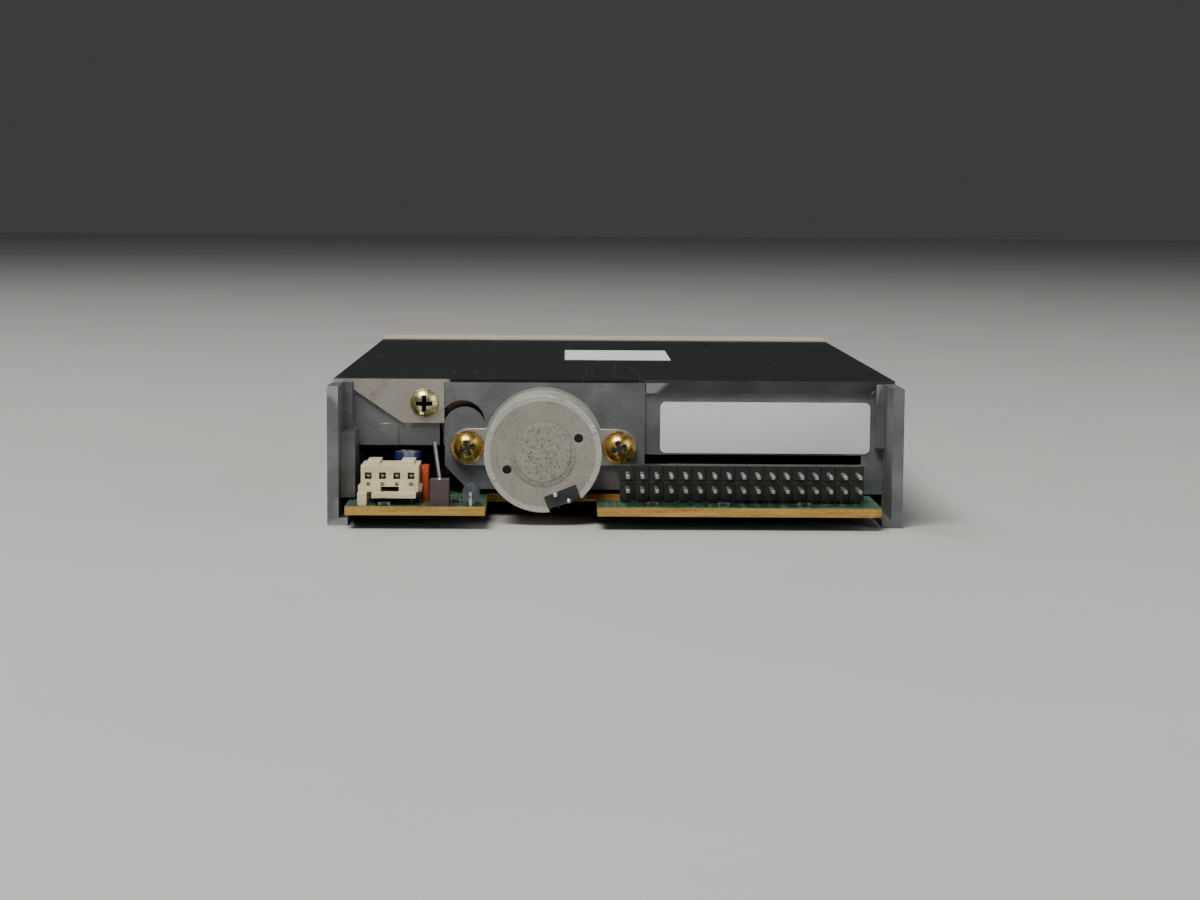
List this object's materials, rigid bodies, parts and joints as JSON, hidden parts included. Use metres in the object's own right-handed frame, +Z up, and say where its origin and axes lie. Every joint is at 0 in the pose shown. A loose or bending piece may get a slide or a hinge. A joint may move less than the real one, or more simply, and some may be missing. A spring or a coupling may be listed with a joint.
{
  "type": "floppy disk drive",
  "caption": "One-inch-high drive for 3.5 inch diskettes, with a beige bezel, an eject slider, a screw-driven head carriage, a rear stepping motor and board connectors.",
  "frame": {"origin": "under the middle of the drive, on the plane of its feet", "axes": "+Y from the bezel to the connectors, +Z up, +X to the left of someone who looks at the connectors"},
  "size_m": [0.1016, 0.153, 0.0254],
  "materials": {
    "die_cast": "cast, dull grey",
    "cover_steel": "dark satin coating",
    "bezel_plastic": "fine texture, beige",
    "button_plastic": "fine texture, beige",
    "flap_plastic": "fine texture, beige",
    "sheet_steel": "zinc plated sheet",
    "spring_steel": "bright drawn wire",
    "ground_steel": "ground",
    "zinc_steel": "yellow zinc passivation",
    "screw_tan": "pale zinc passivation",
    "motor_steel": "tinned and tarnished",
    "flange_steel": "zinc plated sheet",
    "sintered": "sintered bronze",
    "carriage_plastic": "glass-filled, dark",
    "arm_plastic": "glass-filled, dark",
    "ferrite": "sintered ferrite",
    "copper": "enamelled copper windings",
    "black_plastic": "moulded black",
    "plunger_plastic": "acetal",
    "led_green": "tinted epoxy",
    "lens_green": "tinted light guide",
    "board_green": "solder mask over glass epoxy",
    "chip_black": "moulded epoxy",
    "tinned_pins": "tinned",
    "ivory_plastic": "natural nylon",
    "brown_block": "coated ferrite",
    "bead_grey": "ferrite",
    "blue_sleeve": "shrunk sleeve",
    "red_epoxy": "dipped epoxy",
    "amber_film": "polyimide film",
    "label_white": "printed film, left blank",
    "sticker_white": "paper",
    "rotor_steel": "zinc plated",
    "hub_steel": "turned"
  },
  "bodies": {
    "chassis": {"frame": "die_cast", "top_cover": "cover_steel", "tab_screw": "screw_tan", "bezel": "bezel_plastic", "flap_spring": "spring_steel", "slider_springs": "spring_steel", "guide_rod": "ground_steel", "rod_clamps": "sheet_steel", "screw_bearing": "sintered", "motor_coils": "copper", "motor_can": "motor_steel", "motor_cap": "motor_steel", "motor_flange": "flange_steel", "motor_terminals": "black_plastic", "motor_screws": "zinc_steel", "motor_washers": "zinc_steel", "spindle_board": "board_green", "spindle_stator": "copper", "spindle_bush": "sintered", "index_sensor": "black_plastic", "track_sensor": "black_plastic", "switch_body": "black_plastic", "led": "led_green", "led_lens": "lens_green", "main_board": "board_green", "chips": "chip_black", "board_screws": "screw_tan", "data_header": "black_plastic", "data_pins": "tinned_pins", "power_connector": "ivory_plastic", "power_pins": "tinned_pins", "filter_block": "brown_block", "ferrite_bead": "bead_grey", "electrolytic_capacitor": "blue_sleeve", "red_capacitor": "red_epoxy", "motor_flex": "amber_film", "head_flex": "amber_film", "rear_label": "label_white", "top_sticker": "sticker_white"},
    "flap": {"front_flap": "flap_plastic"},
    "slider": {"slider_plate": "sheet_steel", "eject_button": "button_plastic"},
    "holder": {"disk_holder": "sheet_steel", "lever_pivot": "ground_steel", "lever_spring": "spring_steel"},
    "lever": {"shutter_lever": "sheet_steel"},
    "carriage": {"head_carriage": "carriage_plastic", "lower_head": "ferrite", "screw_follower": "spring_steel"},
    "arm": {"upper_arm": "arm_plastic", "upper_head": "ferrite", "arm_spring": "spring_steel"},
    "screw": {"lead_screw": "ground_steel", "motor_rotor": "ferrite"},
    "spindle": {"spindle_rotor": "rotor_steel", "spindle_shaft": "ground_steel", "spindle_hub": "hub_steel", "drive_pin": "ground_steel"},
    "protect_switch": {"protect_plunger": "plunger_plastic"},
    "density_switch": {"density_plunger": "plunger_plastic"}
  },
  "joints": [
    {"name": "holder_lift", "type": "slide", "parent": "chassis", "child": "holder", "axis": [0, 0, -1], "range_m": [0, 0.0039]},
    {"name": "slider_slide", "type": "slide", "parent": "chassis", "child": "slider", "axis": [0, -1, 0], "range_m": [0, 0.0055], "deforming": ["slider_springs"]},
    {"name": "lever_swing", "type": "hinge", "parent": "holder", "child": "lever", "pos_m": [0.0166, 0.0183, 0.0196], "axis": [0, 0, 1], "range_deg": [0, 104], "stiffness_Nm_per_rad": 0.0002, "springref_deg": -17.19, "deforming": ["lever_spring"]},
    {"name": "screw_spin", "type": "hinge", "parent": "chassis", "child": "screw", "pos_m": [0.01285, 0.04, 0.01285], "axis": [0, 1, 0], "range_deg": [-1422, 1.5]},
    {"name": "carriage_slide", "type": "slide", "parent": "chassis", "child": "carriage", "axis": [0, 1, 0], "range_m": [-0.0148, 0.00001], "deforming": ["head_flex"]},
    {"name": "arm_hinge", "type": "hinge", "parent": "carriage", "child": "arm", "pos_m": [0, 0.045, 0.015], "axis": [1, 0, 0], "range_deg": [0, 11]},
    {"name": "spindle_spin", "type": "hinge", "parent": "chassis", "child": "spindle", "pos_m": [0, -0.0255, 0.006], "axis": [0, 0, 1], "continuous": true},
    {"name": "flap_swing", "type": "hinge", "parent": "chassis", "child": "flap", "pos_m": [0, -0.0722, 0.01945], "axis": [1, 0, 0], "range_deg": [0, 85], "stiffness_Nm_per_rad": 0.0003, "springref_deg": -22.92, "deforming": ["flap_spring"]},
    {"name": "protect_press", "type": "slide", "parent": "chassis", "child": "protect_switch", "axis": [0, 0, -1], "range_m": [0, 0.0012], "stiffness_N_per_m": 60, "springref_m": -0.001},
    {"name": "density_press", "type": "slide", "parent": "chassis", "child": "density_switch", "axis": [0, 0, -1], "range_m": [0, 0.0012], "stiffness_N_per_m": 60, "springref_m": -0.001}
  ],
  "couplings": [
    {"joint": "slider_slide", "follows": "holder_lift", "ratio": 1.4103},
    {"joint": "arm_hinge", "follows": "holder_lift", "rad_per_m": 49.227},
    {"joint": "screw_spin", "follows": "carriage_slide", "rad_per_m": 1675.5}
  ]
}
